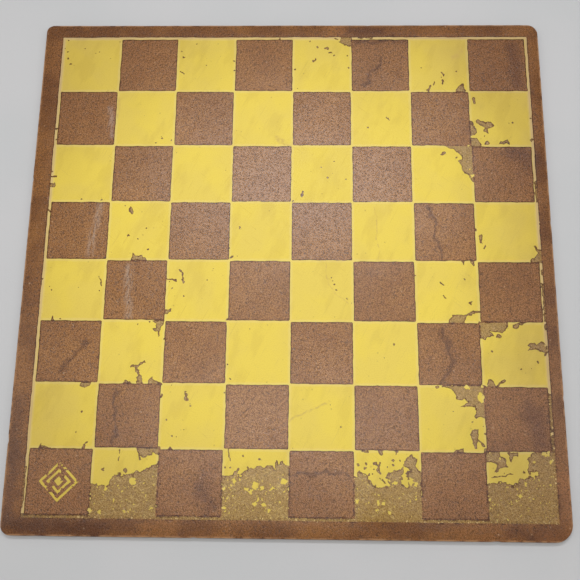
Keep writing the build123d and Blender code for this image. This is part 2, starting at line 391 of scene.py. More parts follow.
def traced(ink, spread):
    """Closed loops of points along the ink's edges, spread outwards by some mm, by marching squares."""
    values = ink.values + spread
    inside = values > 0
    level = inside[:, :-1] != inside[:, 1:]
    upright = inside[:-1] != inside[1:]
    level_id = np.where(level, np.cumsum(level).reshape(level.shape) - 1, -1)
    upright_id = np.where(upright, np.cumsum(upright).reshape(upright.shape) - 1 + level.sum(), -1)
    row, column = np.nonzero(level)
    share = values[row, column] / (values[row, column] - values[row, column + 1])
    on_level = np.column_stack((ink.across[column] + share * ink.step, ink.along[row]))
    row, column = np.nonzero(upright)
    share = values[row, column] / (values[row, column] - values[row + 1, column])
    on_upright = np.column_stack((ink.across[column], ink.along[row] + share * ink.step))
    points = np.vstack((on_level, on_upright))

    sides = np.stack((level_id[:-1], upright_id[:, 1:], level_id[1:], upright_id[:, :-1]))
    crossed = (sides >= 0).sum(0)
    simple = np.sort(sides[:, crossed == 2].T, axis=1)[:, 2:]
    saddle = crossed == 4
    below, right, above, left = sides[:, saddle]
    middle = (values[:-1, :-1] + values[1:, :-1] + values[:-1, 1:] + values[1:, 1:])[saddle] > 0
    joined = middle == inside[:-1, :-1][saddle]
    first = np.column_stack((below, np.where(joined, right, left)))
    second = np.column_stack((above, np.where(joined, left, right)))
    links = np.vstack((simple, first, second))
    ends = np.concatenate((links[:, 0], links[:, 1]))
    others = np.concatenate((links[:, 1], links[:, 0]))
    neighbours = others[np.argsort(ends, kind="stable")].reshape(-1, 2).tolist()

    seen = [False] * len(points)
    loops = []
    for start in range(len(points)):
        if seen[start]:
            continue
        loop = [start]
        previous = start
        current = neighbours[start][0]
        while current != start:
            loop.append(current)
            seen[current] = True
            one, other = neighbours[current]
            previous, current = current, other if one == previous else one
        loops.append(points[loop])
    return loops


def simplified(loop, tolerance):
    """The loop without points nearer than the tolerance to the line that is left (Douglas-Peucker)."""
    closed = np.vstack((loop, loop[:1]))
    far = int(np.hypot(*(loop - loop[0]).T).argmax())
    keep = np.zeros(len(loop), bool)
    keep[[0, far]] = True
    spans = [(0, far), (far, len(loop))]
    while spans:
        start, end = spans.pop()
        if end - start < 2:
            continue
        run = closed[end] - closed[start]
        offsets = closed[start + 1:end] - closed[start]
        distance = np.abs(run[0] * offsets[:, 1] - run[1] * offsets[:, 0]) / np.hypot(*run)
        worst = int(distance.argmax())
        if distance[worst] > tolerance:
            middle = start + 1 + worst
            keep[middle] = True
            spans += [(start, middle), (middle, end)]
    return loop[keep]


def filled(loops):
    """Points and triangles, seen from above anticlockwise, of the area between the loops."""
    points = [Vector(point) for loop in loops for point in loop]
    lines = []
    for loop in loops:
        start = len(lines)
        count = len(loop)
        lines += [(start + k, start + (k + 1) % count) for k in range(count)]
    flat, edges, triangles, _, sources, _ = delaunay_2d_cdt(points, lines, [], 0, 1e-6)
    walls = {tuple(sorted(edge)) for edge, source in zip(edges, sources) if len(source) % 2}
    beside = {}
    for index, triangle in enumerate(triangles):
        for k in range(3):
            side = tuple(sorted((triangle[k], triangle[k - 1])))
            beside.setdefault(side, []).append(index)
    # Crossing a loop changes between inside and outside, beginning outside the hull.
    inside = {}
    pending = []
    for side, faces in beside.items():
        if len(faces) == 1 and faces[0] not in inside:
            inside[faces[0]] = side in walls
            pending.append(faces[0])
    while pending:
        index = pending.pop()
        triangle = triangles[index]
        for k in range(3):
            side = tuple(sorted((triangle[k], triangle[k - 1])))
            for other in beside[side]:
                if other not in inside:
                    inside[other] = inside[index] != (side in walls)
                    pending.append(other)
    kept = [triangles[index] for index in sorted(inside) if inside[index]]
    turned = []
    for a, b, c in kept:
        if (flat[b] - flat[a]).cross(flat[c] - flat[a]) < 0:
            b, c = c, b
        turned.append((a, b, c))
    return flat, turned


def rim_of(triangles):
    """The directed edges of a patch of triangles that only one of them has."""
    edges = {(t[k - 1], t[k]) for t in triangles for k in range(3)}
    return sorted(edge for edge in edges if (edge[1], edge[0]) not in edges)


def new_piece(name, points, faces, node, material, smooth=False):
    """A piece of the board from points in mm, standing for a CAD node."""
    mesh = bpy.data.meshes.new(name)
    mesh.from_pydata([tuple(c * MM for c in point) for point in points], [], faces)
    mesh.materials.append(material)
    mesh.polygons.foreach_set("use_smooth", [smooth] * len(mesh.polygons))
    piece = bpy.data.objects.new(name, mesh)
    bpy.context.scene.collection.objects.link(piece)
    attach(piece, "root")
    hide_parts(node)
    return piece


def film_piece(name, ink, low, high, node, material):
    """A film of ink as a closed solid between two heights."""
    flat, triangles = filled(outlines(ink, 0.0))
    count = len(flat)
    points = [(p.x, p.y, high) for p in flat] + [(p.x, p.y, low) for p in flat]
    faces = list(triangles)
    faces += [(c + count, b + count, a + count) for a, b, c in triangles]
    faces += [(a + count, b + count, b, a) for a, b in rim_of(triangles)]
    return new_piece(name, points, faces, node, material)


# ---- material nodes ----


class Shader:
    """A material's nodes, one short call for each step. Lengths are in mm on the board."""

    def __init__(self, name):
        self.material = bpy.data.materials.new(name)
        self.material.use_nodes = True
        self.tree = self.material.node_tree
        self.surface = self.tree.nodes["Principled BSDF"]
        coordinates = self.node("ShaderNodeTexCoord")
        scaled = self.node("ShaderNodeVectorMath", operation="SCALE")
        self.tree.links.new(coordinates.outputs["Object"], scaled.inputs[0])
        scaled.inputs["Scale"].default_value = 1 / MM
        self.place = scaled.outputs[0]
        parts = self.node("ShaderNodeSeparateXYZ")
        self.put(parts.inputs[0], self.place)
        self.x, self.y, self.z = parts.outputs

    def node(self, kind, **settings):
        """A new node with these settings."""
        made = self.tree.nodes.new(kind)
        for name, value in settings.items():
            setattr(made, name, value)
        return made

    def put(self, socket, value):
        """Links the value to the socket, or sets it there if it is a plain number or colour."""
        if isinstance(value, bpy.types.NodeSocket):
            self.tree.links.new(value, socket)
        else:
            socket.default_value = value

    def math(self, operation, first, second=0.0, third=0.0):
        """The result of a sum or other operation on numbers or sockets."""
        made = self.node("ShaderNodeMath", operation=operation)
        for socket, value in zip(made.inputs, (first, second, third)):
            self.put(socket, value)
        return made.outputs[0]

    def length(self, x, y):
        """The length of a run that goes x across and y along."""
        squares = self.math("ADD", self.times(x, x), self.times(y, y))
        return self.math("SQRT", squares)

    def times(self, first, second):
        """One value multiplied by the other."""
        return self.math("MULTIPLY", first, second)

    def ease(self, value, low, high, bottom=0.0, top=1.0):
        """Goes smoothly from bottom, where the value is low, to top, where it is high."""
        made = self.node("ShaderNodeMapRange", interpolation_type="SMOOTHSTEP")
        for socket, number in zip(made.inputs, (value, low, high, bottom, top)):
            self.put(socket, number)
        return made.outputs[0]

    def mix(self, share, first, second):
        """A colour between the first and the second."""
        made = self.node("ShaderNodeMix", data_type="RGBA")
        self.put(made.inputs[0], share)
        self.put(made.inputs[6], first)
        self.put(made.inputs[7], second)
        return made.outputs[2]

    def shade(self, share, colour, amount):
        """The colour multiplied by a tint, by the share given."""
        made = self.node("ShaderNodeMix", data_type="RGBA", blend_type="MULTIPLY")
        self.put(made.inputs[0], share)
        self.put(made.inputs[6], colour)
        self.put(made.inputs[7], amount)
        return made.outputs[2]

    def stretched(self, size, turn):
        """The place on the board, measured in grains of that size turned by that many degrees."""
        mapping = self.node("ShaderNodeMapping", vector_type="TEXTURE")
        self.put(mapping.inputs["Vector"], self.place)
        mapping.inputs["Scale"].default_value = size
        mapping.inputs["Rotation"].default_value = (0, 0, radians(turn))
        return mapping.outputs[0]

    def noise(self, size, detail=2.0, turn=0.0):
        """Values about 0.5 that change over a size in mm, or over a length, width and depth."""
        if not isinstance(size, tuple):
            size = (size, size, size)
        made = self.node("ShaderNodeTexNoise")
        self.put(made.inputs["Vector"], self.stretched(size, turn))
        made.inputs["Scale"].default_value = 1.0
        made.inputs["Detail"].default_value = detail
        return made.outputs[0]

    def specks(self, cell, radius, scarce, size=None, turn=0.0):
        """One where there is a speck. Specks lie one to a cell, some left out, with soft edges."""
        made = self.node("ShaderNodeTexVoronoi", feature="F1")
        self.put(made.inputs["Vector"], self.stretched(size or (cell, cell, cell), turn))
        made.inputs["Scale"].default_value = 1.0
        distance = made.outputs["Distance"]
        parts = self.node("ShaderNodeSeparateColor")
        self.put(parts.inputs[0], made.outputs["Color"])
        present = self.math("GREATER_THAN", parts.outputs[0], scarce)
        reach = self.math("MULTIPLY_ADD", parts.outputs[1], radius / cell, 0.3 * radius / cell)
        inside = self.ease(self.math("SUBTRACT", reach, distance), -0.08, 0.08)
        return self.times(inside, present)

    def swayed(self, reach, size):
        """The place across the board, pushed about by up to a reach, so that lines drawn on it wander."""
        sway_x = self.math("MULTIPLY_ADD", self.noise(size, 3.0), 4 * reach, -2 * reach)
        sway_y = self.math("MULTIPLY_ADD", self.noise(size * 0.9, 3.0, 37), 4 * reach, -2 * reach)
        return self.math("ADD", self.x, sway_x), self.math("ADD", self.y, sway_y)

    def from_run(self, start, end, place):
        """Distance in mm from a straight run between two places."""
        run = (end[0] - start[0], end[1] - start[1])
        length = hypot(*run)
        away_x = self.math("SUBTRACT", place[0], start[0])
        away_y = self.math("SUBTRACT", place[1], start[1])
        dot = self.math("ADD", self.times(away_x, run[0] / length**2),
                        self.times(away_y, run[1] / length**2))
        clamped = self.math("MINIMUM", self.math("MAXIMUM", dot, 0.0), 1.0)
        rest_x = self.math("MULTIPLY_ADD", clamped, -run[0], away_x)
        rest_y = self.math("MULTIPLY_ADD", clamped, -run[1], away_y)
        return self.length(rest_x, rest_y)

    def smear(self, width, points, place):
        """A soft streak along the points, strongest in its middle."""
        nearest = None
        for start, end in zip(points, points[1:]):
            distance = self.from_run(start, end, place)
            nearest = distance if nearest is None else self.math("MINIMUM", nearest, distance)
        return self.ease(nearest, width, 0.0)

    def grid(self):
        """Whether a square is bare (one) or printed (zero), and the distances from its edge and the field."""
        column = self.math("DIVIDE", self.math("SUBTRACT", self.x, LEFT), SQUARE)
        row = self.math("DIVIDE", self.math("SUBTRACT", FAR, self.y), SQUARE)
        count = self.math("ADD", self.math("FLOOR", column), self.math("FLOOR", row))
        odd = self.math("FLOORED_MODULO", count, 2.0)
        across = self.math("PINGPONG", column, 0.5)
        along = self.math("PINGPONG", row, 0.5)
        edge = self.times(self.math("MINIMUM", across, along), SQUARE)
        away_x = self.math("ABSOLUTE", self.math("SUBTRACT", self.x, FIELD_X))
        away_y = self.math("ABSOLUTE", self.math("SUBTRACT", self.y, FIELD_Y))
        outside = self.math("SUBTRACT", self.math("MAXIMUM", away_x, away_y), SQUARE * SQUARES / 2)
        return odd, edge, outside

    def dirt_and_painted_shade(self, colour):
        """The colour darkened towards the corners and the right side: painted shade of the light falling off
        there, together with some dirt from hands and dust.
        """
        away = self.length(self.x, self.y)
        uneven = self.math("MULTIPLY_ADD", self.noise(40, 3.0), 60.0, -30.0)
        corners = self.ease(self.math("ADD", away, uneven), 110, 250)
        right = self.ease(self.math("ADD", self.x, uneven), 105, 190)
        share = self.math("MINIMUM", self.math("MULTIPLY_ADD", right, 0.45, corners), 1.0)
        return self.shade(share, colour, srgb(219, 214, 236))

    def finish(self, colour, roughness, bumps, specular):
        """Sets the surface. Each bump is a height, and its distance in mm."""
        self.put(self.surface.inputs["Base Color"], colour)
        self.put(self.surface.inputs["Roughness"], roughness)
        self.surface.inputs["Specular IOR Level"].default_value = specular
        normal = None
        for height, distance in bumps:
            bump = self.node("ShaderNodeBump")
            bump.inputs["Distance"].default_value = distance * MM
            self.put(bump.inputs["Height"], height)
            if normal is not None:
                self.put(bump.inputs["Normal"], normal)
            normal = bump.outputs[0]
        self.put(self.surface.inputs["Normal"], normal)
        return self.material


def srgb(red, green, blue):
    """A colour given in the usual 0 to 255 steps."""
    linear = []
    for value in (red, green, blue):
        share = value / 255
        linear.append(share / 12.92 if share <= 0.04045 else ((share + 0.055) / 1.055) ** 2.4)
    return (*linear, 1.0)


def fibre_tone(shader):
    """Pale and dark fibres pressed into the board, about 0.5 on average."""
    slanted = shader.noise((1.35, 0.36, 1.2), 1.5, -45)
    crossing = shader.noise((1.0, 0.36, 1.2), 1.5, 30)
    fine = shader.noise(0.4, 2.0)
    both = shader.math("MULTIPLY_ADD", slanted, 0.5, shader.times(crossing, 0.22))
    return shader.math("MULTIPLY_ADD", fine, 0.28, both)


def bare_board(shader, tone):
    """The colours of unprinted board, inside the field and on the border."""
    bare = shader.mix(shader.ease(tone, 0.41, 0.57), srgb(114, 73, 27), srgb(186, 130, 70))
    bare = shader.shade(shader.ease(shader.noise(45, 2.0), 0.40, 0.62, 0.0, 0.3), bare, srgb(212, 200, 190))
    bare = shader.shade(shader.ease(shader.noise(9, 2.0), 0.45, 0.65, 0.0, 0.22), bare, srgb(225, 208, 190))
    border = shader.mix(shader.ease(tone, 0.38, 0.62), srgb(118, 76, 32), srgb(180, 122, 58))
    blotches = shader.ease(shader.noise(28, 3.0), 0.40, 0.62, 0.0, 0.65)
    return bare, shader.shade(blotches, border, srgb(190, 176, 172))


def worn_board(shader, tone):
    """The olive stain where ink has come off, and the golden one of the near row and the lip."""
    stain = shader.mix(shader.ease(tone, 0.38, 0.62), srgb(144, 110, 46), srgb(196, 158, 86))
    golden = shader.mix(shader.ease(tone, 0.38, 0.62), srgb(134, 100, 38), srgb(196, 156, 74))
    stain = shader.mix(shader.ease(shader.y, -120, -170, 0.0, 0.85), stain, golden)
    flecks = shader.times(shader.specks(1.3, 0.42, 0.35), 0.4)
    stain = shader.mix(flecks, stain, srgb(214, 182, 112))
    near = shader.ease(shader.y, -128, -138)
    scraped = shader.math("MAXIMUM", shader.specks(1.0, 0.42, 0.6, (4.2, 0.9, 2.0), 24),
                          shader.specks(1.0, 0.42, 0.6, (3.6, 0.8, 2.0), -38))
    scraped = shader.times(scraped, shader.ease(shader.noise(10, 3.0), 0.42, 0.6))
    stain = shader.mix(shader.times(scraped, near), stain, srgb(204, 172, 94))
    return stain, golden


def dark_grain(shader):
    """One on the small dark dashes, dots and bark flakes of the pressed fibres."""
    dashes = shader.math("MAXIMUM", shader.specks(1.0, 0.42, 0.35, (2.1, 0.85, 1.8), -45),
                         shader.specks(1.0, 0.42, 0.45, (1.8, 0.8, 1.6), 25))
    dots = shader.math("MAXIMUM", shader.specks(2.2, 0.52, 0.4),
                       shader.specks(5.5, 0.8, 0.5, (6.0, 2.6, 5.0), -50))
    return shader.math("MAXIMUM", dots, shader.times(dashes, 0.62))


def hardboard(name, grimed):
    """Oil-tempered hardboard with fibres, specks, stains and wear, with painted shade towards the corners and
    a painted highlight along the arris, or grimed as it is beside the ink.
    """
    shader = Shader(name)
    odd, outside = shader.grid()[::2]
    tone = fibre_tone(shader)
    bare, border = bare_board(shader, tone)
    stain, golden = worn_board(shader, tone)

    printed = shader.math("SUBTRACT", 1.0, shader.ease(odd, 0.4, 0.6))
    on_field = shader.ease(outside, LIP + 0.3, LIP - 0.3)
    past_squares = shader.ease(outside, -WINDOW_INSET - 0.1, -WINDOW_INSET + 0.1)
    colour = shader.mix(printed, bare, stain)
    colour = shader.mix(shader.times(past_squares, on_field), colour, golden)
    colour = shader.mix(shader.ease(outside, LIP - 0.2, LIP + 0.3), colour, border)
    # Painted shade, with some dirt, darkens the board towards the corners and the right side.
    colour = shader.dirt_and_painted_shade(hardboard_stains(shader, colour))

    # The star face below has only bare board between its inks.
    scuffed = shader.ease(shader.noise((30, 2.5, 8), 3.0, 15), 0.52, 0.64)
    reverse = shader.mix(shader.times(scuffed, 0.3), bare, srgb(176, 136, 96))
    middle = (panel_low.z + panel_high.z) / 2
    colour = shader.mix(shader.ease(shader.z, middle - 0.5, middle + 0.5), reverse, colour)

    dark_specks = dark_grain(shader)
    fainter = shader.math("MULTIPLY_ADD", printed, -0.25, 0.7)
    colour = shader.mix(shader.times(dark_specks, fainter), colour, srgb(60, 34, 12))
    pale_specks = shader.specks(4.3, 0.5, 0.72)
    colour = shader.mix(shader.times(pale_specks, 0.35), colour, srgb(214, 178, 140))
    if grimed:
        grime = shader.ease(shader.noise(5, 3.0), 0.3, 0.6, 0.55, 1.0)
        colour = shader.shade(grime, colour, srgb(168, 138, 66))

    # The arris is rubbed pale and also carries a painted highlight, as of light catching its rounding, and
    # the sawn edge below it is dark and dull.
    from_side = shader.math("MAXIMUM", shader.math("ABSOLUTE", shader.x), shader.math("ABSOLUTE", shader.y))
    to_side = shader.math("SUBTRACT", panel_high.x, from_side)
    patchy = shader.ease(shader.noise(6, 3.0), 0.36, 0.6)
    rub_and_highlight = shader.times(shader.ease(to_side, 1.6, 0.3), patchy)
    colour = shader.mix(shader.times(rub_and_highlight, 0.75), colour, srgb(186, 140, 96))
    below = shader.ease(shader.z, panel_high.z - 0.3, panel_high.z - 1.1)
    layers = shader.ease(shader.noise((3.0, 3.0, 0.5), 3.0), 0.35, 0.65)
    sawn = shader.mix(layers, srgb(84, 54, 36), srgb(132, 92, 62))
    side = shader.times(below, shader.ease(to_side, 0.9, 0.5))
    colour = shader.mix(side, colour, sawn)

    rough = shader.ease(tone, 0.35, 0.65, 0.22, 0.33)
    rough = shader.math("ADD", rough, shader.times(rub_and_highlight, 0.2))
    rough = shader.math("ADD", rough, shader.times(side, 0.25))
    bumps = [
        (shader.noise(0.5, 2.0), 0.05),
        (shader.noise((2.4, 0.5, 2.0), 2.0, -45), 0.05),
        (shader.math("SUBTRACT", 1.0, dark_specks), 0.06),
        (shader.noise(24, 2.0), 0.3),
    ]
    return shader.finish(colour, rough, bumps, 0.42)


def hardboard_stains(shader, colour):
    """Dark water marks, purple bruises and whitish scuffs on the checkers face."""
    dark_marks = [
        (2.6, [(69, 161), (67, 153), (63, 150), (61, 143), (56, 139)]),
        (2.2, [(103, 41), (106, 30), (109, 13), (110, 1)]),
        (2.8, [(109, -47), (112, -60), (116, -70), (106, -85)]),
        (2.6, [(-141, -59), (-150, -70), (-156, -83)]),
        (2.2, [(-118, -95), (-117, -128)]),
        (2.2, [(6, -149), (44, -147)]),
        (3.0, [(51, 177), (90, 177)]),
    ]
    purple_marks = [
        (14.0, [(168, 85), (178, 78)]),
        (9.0, [(172, 172), (172, 140)]),
        (12.0, [(165, -100), (176, -126)]),
        (10.0, [(-54, -158), (-50, -172)]),
        (9.0, [(-184, -100), (-186, -184), (-120, -186)]),
        (7.0, [(39, 186), (70, 186)]),
        (7.0, [(150, -186), (186, -186)]),
    ]
    pale_marks = [
        (3.5, [(-136.5, 120), (-133, 97)]),
        (4.5, [(-139, 45), (-139.5, 28), (-142, 21), (-143.5, 5)]),
        (3.0, [(-176, 48), (-152, 47)]),
        (5.0, [(-115, -5), (-113, -40)]),
    ]
    orange_marks = [
        (9.0, [(172, -187), (187, -187), (187, -150)]),
        (6.0, [(30, 187), (38, 187)]),
    ]
    place = shader.swayed(4.0, 11.0)
    for marks, tint, strength in (
        (purple_marks, srgb(188, 178, 200), 0.7),
        (dark_marks, srgb(176, 164, 158), 0.8),
    ):
        for width, points in marks:
            share = shader.times(shader.smear(width, points, place), strength)
            colour = shader.shade(share, colour, tint)
    streaks = shader.ease(shader.noise((9, 1.2, 3), 3.0, 80), 0.35, 0.6)
    straight = shader.swayed(0.8, 20.0)
    for width, points in pale_marks:
        share = shader.times(shader.smear(width, points, straight), streaks)
        colour = shader.mix(shader.times(share, 0.45), colour, srgb(190, 168, 146))
    for width, points in orange_marks:
        share = shader.times(shader.smear(width, points, place), 0.35)
        colour = shader.mix(share, colour, srgb(186, 124, 62))
    return colour


def yellow_ink():
    """Screen-printed yellow, thinner at its edges, with grime, painted shade towards the corners, rubbed
    scratches and a low gloss.
    """
    shader = Shader("yellow_ink")
    edge, outside = shader.grid()[1:]
    tone = shader.noise(0.7, 3.0)
    cloud = shader.noise(30, 3.0)
    colour = shader.mix(shader.ease(cloud, 0.38, 0.62), srgb(240, 213, 78), srgb(236, 209, 84))
    colour = shader.shade(shader.ease(tone, 0.42, 0.70, 0.0, 0.35), colour, srgb(232, 220, 190))

    # Thin ink along the edges of every square lets the board through and looks creamier.
    wobble = shader.math("MULTIPLY_ADD", shader.noise(4, 2.0), 1.4, -0.7)
    rim = shader.ease(shader.math("ADD", edge, wobble), 1.8, 0.5)
    colour = shader.mix(shader.times(rim, 0.4), colour, srgb(240, 216, 128))
    on_lip = shader.ease(outside, -0.4, 0.2)
    colour = shader.mix(shader.times(on_lip, 0.8), colour, srgb(226, 195, 125))

    # Painted shade, with some dirt, darkens the ink towards the corners and the right side, and grime gathers
    # along the grain.
    colour = shader.dirt_and_painted_shade(colour)
    smudge = shader.ease(shader.noise((24, 9, 9), 3.0, 70), 0.50, 0.66)
    colour = shader.shade(shader.times(smudge, 0.22), colour, srgb(222, 214, 206))
    pores = shader.specks(6.5, 0.36, 0.35)
    colour = shader.mix(shader.times(pores, 0.55), colour, srgb(150, 120, 50))
    scratch = shader.ease(shader.noise((26, 0.7, 5), 1.0, 62), 0.68, 0.74)
    second = shader.ease(shader.noise((20, 0.8, 5), 1.0, -38), 0.70, 0.76)
    scratch = shader.math("MAXIMUM", scratch, second)
    colour = shader.mix(shader.times(scratch, 0.28), colour, srgb(188, 158, 80))
    dirty_scratches = [
        (1.3, [(3, -113), (10, -108.5), (17.5, -105.5), (26, -101.5), (30, -100)]),
        (0.8, [(27.5, -1), (28, -9), (29.5, -17), (35, -24), (43.5, -31)]),
        (0.8, [(62, 41), (65, 34), (64, 20), (66, 8), (65, 2)]),
        (2.5, [(-130, 128), (-130, 112)]),
        (3.0, [(125, 162), (132, 168)]),
        (3.0, [(-9, 96), (-1, 90)]),
    ]
    place = shader.swayed(1.2, 6.0)
    broken = shader.ease(shader.noise(3.0, 3.0), 0.35, 0.6, 0.1, 0.55)
    for width, points in dirty_scratches:
        share = shader.times(shader.smear(width, points, place), broken)
        colour = shader.mix(share, colour, srgb(196, 162, 84))

    rough = shader.ease(tone, 0.35, 0.65, 0.40, 0.49)
    rough = shader.math("ADD", rough, shader.times(scratch, 0.15))
    bumps = [
        (tone, 0.02),
        (shader.noise((2.4, 0.6, 2.0), 2.0, -45), 0.03),
        (shader.noise(24, 2.0), 0.3),
    ]
    return shader.finish(colour, rough, bumps, 0.3)


def star_ink(name, dark, light, cloud_size):
    """A flat screen-printed colour on the star face, rubbed thin where marbles have rolled."""
    shader = Shader(name)
    tone = shader.noise(0.8, 3.0)
    cloud = shader.noise(cloud_size, 3.0)
    colour = shader.mix(shader.ease(cloud, 0.35, 0.65), srgb(*dark), srgb(*light))
    worn = shader.ease(shader.noise((5, 2.2, 4), 4.0, 25), 0.60, 0.70)
    colour = shader.mix(shader.times(worn, 0.5), colour, srgb(150, 108, 72))
    pores = shader.specks(5.0, 0.4, 0.4)
    colour = shader.mix(shader.times(pores, 0.5), colour, srgb(90, 64, 40))
    rough = shader.ease(tone, 0.35, 0.65, 0.36, 0.5)
    bumps = [(tone, 0.02), (shader.noise((2.4, 0.6, 2.0), 2.0, -45), 0.03)]
    return shader.finish(colour, rough, bumps, 0.4)


def table_top():
    """A plain pale table, paler where it is far from the lights, so that it looks evenly lit."""
    shader = Shader("pale_table")
    cloud = shader.ease(shader.noise(90, 3.0), 0.35, 0.65)
    colour = shader.mix(cloud, srgb(199, 199, 197), srgb(202, 201, 199))
    away = shader.length(shader.x, shader.y)
    colour = shader.mix(shader.ease(away, 350, 1300), colour, srgb(247, 247, 247))
    rough = shader.ease(shader.noise(3, 2.0), 0.3, 0.7, 0.7, 0.8)
    return shader.finish(colour, rough, [(shader.noise(1.5, 2.0), 0.05)], 0.3)


# ---- the checkers print ----


def square_centre(column, row):
    """The middle of a square, counted from the far left one."""
    return LEFT + (column + 0.5) * SQUARE, FAR - (row + 0.5) * SQUARE


def checker_field():
    """The yellow squares in one film, with the bare squares left open and every loss cut out."""
    ink = Ink(field_low, field_high, 0.36, 11)
    whole = (slice(None), slice(None))
    half_field = SQUARE * SQUARES / 2 + LIP
    field_corner = 0.6
    ink.add(whole, from_block(*ink.printed, FIELD_X, FIELD_Y, half_field, field_corner))
    half_window = SQUARE / 2 - WINDOW_INSET
    for column in range(SQUARES):
        for row in range(SQUARES):
            if (column + row) % 2:
                x, y = square_centre(column, row)
                part = ink.around([(x, y)], SQUARE / 2 + 1)
                printed = (ink.printed[0][part], ink.printed[1][part])
                ink.cut(part, from_block(*printed, x, y, half_window, WINDOW_R))
    for patch in LOST_PATCHES + WORN_LIP:
        ink.cut(*ink.near_patch(patch))
    floor = FAR - SQUARE * SQUARES - LIP - 2
    for line in WORN_BELOW:
        part, distance = ink.near_patch(line + [(line[-1][0], floor), (line[0][0], floor)])
        x = ink.broken[0][part]
        y = ink.broken[1][part]
        torn = 1.1 * wander(x, y, 2.4, 31) + 0.7 * wander(x, y, 1.2, 32)
        ink.cut(part, distance + torn)
    for x, y, radius in CHIPS:
        ink.cut(*ink.near_line([(x, y)], radius))
    for half_width, *points in SCRATCHES:
        ink.cut(*ink.near_line(points, half_width))
    return ink


def outlines(ink, spread):
    """Loops round the ink, spread outwards from its edge by some mm."""
    tolerance = 0.05
    smallest = 5
    loops = [simplified(loop, tolerance) for loop in traced(ink, spread) if len(loop) > smallest]
    return [loop for loop in loops if len(loop) > 2]


def scatter_crumbs(ink):
    """Crumbs of ink left in the worn near row and on the worn lip, and pinholes all over the rest."""
    rng = np.random.default_rng(5)
    near_edge = FAR - SQUARE * SQUARES
    for column in range(1, SQUARES, 2):
        left = LEFT + column * SQUARE
        for _ in range(190):
            x = rng.uniform(left, left + SQUARE)
            y = near_edge + SQUARE * 0.66 * rng.uniform() ** 0.8
            ink.add(*ink.near_line([(x, y)], rng.uniform(0.10, 0.42)))
    for _ in range(240):
        x = rng.uniform(LEFT, LEFT + SQUARE * SQUARES)
        y = near_edge - rng.uniform(0.0, LIP)
        ink.add(*ink.near_line([(x, y)], rng.uniform(0.1, 0.4)))
    for _ in range(60):
        x = LEFT + SQUARE * SQUARES + rng.uniform(0.0, LIP)
        y = rng.uniform(near_edge, near_edge + 5 * SQUARE)
        ink.add(*ink.near_line([(x, y)], rng.uniform(0.15, 0.5)))
    for _ in range(240):
        x = rng.uniform(LEFT, LEFT + SQUARE * SQUARES)
        y = rng.uniform(near_edge, FAR)
        ink.cut(*ink.near_line([(x, y)], rng.uniform(0.1, 0.3)))


def corner_ornament():
    """Nested diamonds in the near left square, rubbed and broken."""
    centre_x = (ornament_low.x + ornament_high.x) / 2
    centre_y = (ornament_low.y + ornament_high.y) / 2
    radius = (ornament_high.x - ornament_low.x) / 2
    line = 1.6 * sqrt(2)
    ink = Ink(ornament_low, ornament_high, 0.22, 41)
    x, y = ink.printed
    away = np.abs(x - centre_x) + np.abs(y - centre_y)
    whole = (slice(None), slice(None))
    for share in (1.0, 0.62):
        outer = radius * share
        ink.add(whole, np.maximum(away - outer, outer - line - away) / sqrt(2))
    ink.add(whole, (away - radius * 0.24) / sqrt(2))
    grid_x, grid_y = np.meshgrid(ink.across, ink.along)
    rubbed = wander(grid_x, grid_y, 3.5, 50) + 0.6 * wander(grid_x, grid_y, 1.1, 51)
    ink.cut(whole, 0.5 - rubbed)
    return ink


# ---- the board ----


def pit_centres():
    """Every pit of the star: two large triangles of pits laid over each other."""
    reach = 2 * HALF_ROWS
    pitch = ROW * 2 / sqrt(3)
    centres = []
    for row in range(-reach, reach + 1):
        for step in range(-3 * reach, 3 * reach + 1):
            rows = (row, (step - row) / 2, (-step - row) / 2)
            if (step - row) % 2 == 0 and (max(rows) <= HALF_ROWS or min(rows) >= -HALF_ROWS):
                centres.append((step / 2 * pitch, row * ROW))
    return centres


def pit_circle():
    """Points round a circle of radius one."""
    turns = np.arange(PIT_SEGMENTS) * 2 * pi / PIT_SEGMENTS
    return np.column_stack((np.cos(turns), np.sin(turns)))


def add_pit(points, faces, centre, low):
    """Adds one round hollow to the points and faces, with a rounded rim at height low."""
    circle = pit_circle()
    level = sqrt(MARBLE_R**2 - PIT_R**2)
    bowl = [(PIT_RIM, 0.0), (PIT_R + 0.12, 0.02), (PIT_R - 0.08, 0.13)]
    bowl += [(r, sqrt(MARBLE_R**2 - r**2) - level) for r in (4.5, 3.6, 2.5, 1.3)]
    start = len(points)
    for radius, depth in bowl:
        points.extend((*(circle[k] * radius + centre), low + depth) for k in range(PIT_SEGMENTS))
    points.append((*centre, low + MARBLE_R - level))
    for ring in range(len(bowl)):
        for k in range(PIT_SEGMENTS):
            here = start + ring * PIT_SEGMENTS + k
            following = start + ring * PIT_SEGMENTS + (k + 1) % PIT_SEGMENTS
            if ring + 1 == len(bowl):
                faces.append((here, len(points) - 1, following))
            else:
                faces.append((here, here + PIT_SEGMENTS, following + PIT_SEGMENTS, following))


